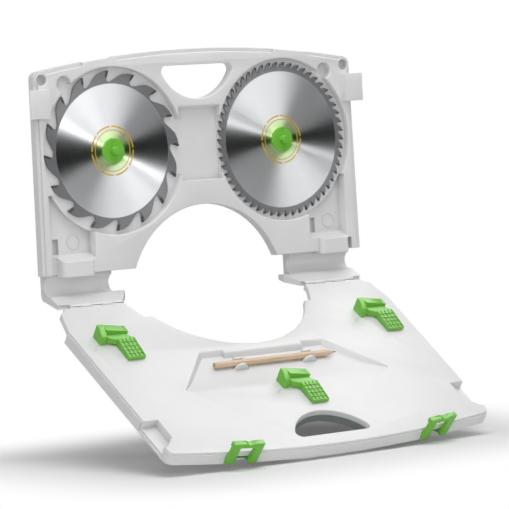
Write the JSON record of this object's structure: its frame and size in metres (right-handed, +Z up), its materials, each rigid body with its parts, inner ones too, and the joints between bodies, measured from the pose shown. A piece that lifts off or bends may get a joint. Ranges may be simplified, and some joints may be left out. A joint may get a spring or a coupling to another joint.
{
  "type": "saw blade storage case",
  "caption": "Hinged storage case that hangs on a stand's cross tube, with saw blades on quick-release hubs, a pencil tray, holding levers and bail latches.",
  "frame": {"origin": "on the cross tube's axis, at the middle of the case's width", "axes": "+X to the right along the cross tube, +Y to the back of the tray, +Z up"},
  "size_m": [0.4866, 0.2933, 0.4752],
  "materials": {
    "case": "fine matt texture",
    "green": "satin",
    "blade_steel": "ground",
    "carbide": "dark sintered",
    "fastener_steel": "bright",
    "pencil_wood": "bare",
    "pencil_lead": "graphite"
  },
  "bodies": {
    "tray": {"tray_panel": "case", "hub_left": "green", "hub_right": "green", "hub_nut_left": "case", "hub_nut_right": "case", "hub_spring_left": "fastener_steel", "hub_spring_right": "fastener_steel", "leg_clip_left": "case", "leg_clip_right": "case", "hinge_pin_left": "fastener_steel", "hinge_pin_right": "fastener_steel"},
    "lid": {"lid_panel": "case", "lid_shell": "case", "lid_screws": "fastener_steel", "lever_base_left": "green", "lever_base_right": "green", "lever_base_middle": "green", "lever_pin_left": "fastener_steel", "lever_pin_right": "fastener_steel", "lever_pin_middle": "fastener_steel", "latch_pin_left": "fastener_steel", "latch_pin_right": "fastener_steel"},
    "coarse_blade": {"coarse_blade": "blade_steel", "coarse_blade_tips": "carbide"},
    "fine_blade": {"fine_blade": "blade_steel", "fine_blade_tips": "carbide"},
    "hub_button_left": {"hub_button_left": "green"},
    "hub_button_right": {"hub_button_right": "green"},
    "lever_left": {"lever_left": "green"},
    "lever_right": {"lever_right": "green"},
    "lever_middle": {"lever_middle": "green"},
    "latch_left": {"latch_left": "green"},
    "latch_right": {"latch_right": "green"},
    "pencil": {"pencil_wood": "pencil_wood", "pencil_lead": "pencil_lead"}
  },
  "joints": [
    {"name": "lid_hinge", "type": "hinge", "parent": "tray", "child": "lid", "pos_m": [0, -0.0213, -0.0227], "axis": [-1, 0, 0], "range_deg": [0, 124.8]},
    {"name": "latch_left_swing", "type": "hinge", "parent": "lid", "child": "latch_left", "pos_m": [-0.1389, -0.25059, -0.19351], "axis": [-0.9946, 0.0853, 0.0593], "range_deg": [-84, 8]},
    {"name": "latch_right_swing", "type": "hinge", "parent": "lid", "child": "latch_right", "pos_m": [0.1389, -0.25059, -0.19351], "axis": [-0.9946, -0.0853, -0.0593], "range_deg": [-84, 8]},
    {"name": "lever_left_swing", "type": "hinge", "parent": "lid", "child": "lever_left", "pos_m": [-0.19, -0.08143, -0.05183], "axis": [1, 0, 0], "range_deg": [-80, 0]},
    {"name": "lever_right_swing", "type": "hinge", "parent": "lid", "child": "lever_right", "pos_m": [0.1885, -0.08143, -0.05183], "axis": [1, 0, 0], "range_deg": [-80, 0]},
    {"name": "lever_middle_swing", "type": "hinge", "parent": "lid", "child": "lever_middle", "pos_m": [0, -0.17422, -0.11632], "axis": [1, 0, 0], "range_deg": [-80, 0]},
    {"name": "coarse_blade_slide", "type": "slide", "parent": "tray", "child": "coarse_blade", "axis": [0, 1, 0], "range_m": [-0.06, 0]},
    {"name": "fine_blade_slide", "type": "slide", "parent": "tray", "child": "fine_blade", "axis": [0, 1, 0], "range_m": [-0.06, 0]},
    {"name": "hub_button_left_press", "type": "slide", "parent": "tray", "child": "hub_button_left", "axis": [0, 1, 0], "range_m": [0, 0.003], "stiffness_N_per_m": 1600, "springref_m": -0.002, "deforming": ["hub_spring_left"]},
    {"name": "hub_button_right_press", "type": "slide", "parent": "tray", "child": "hub_button_right", "axis": [0, 1, 0], "range_m": [0, 0.003], "stiffness_N_per_m": 1600, "springref_m": -0.002, "deforming": ["hub_spring_right"]},
    {"name": "pencil_lift", "type": "slide", "parent": "lid", "child": "pencil", "axis": [0, 0.5707, -0.8211], "range_m": [-0.03, 0]}
  ]
}
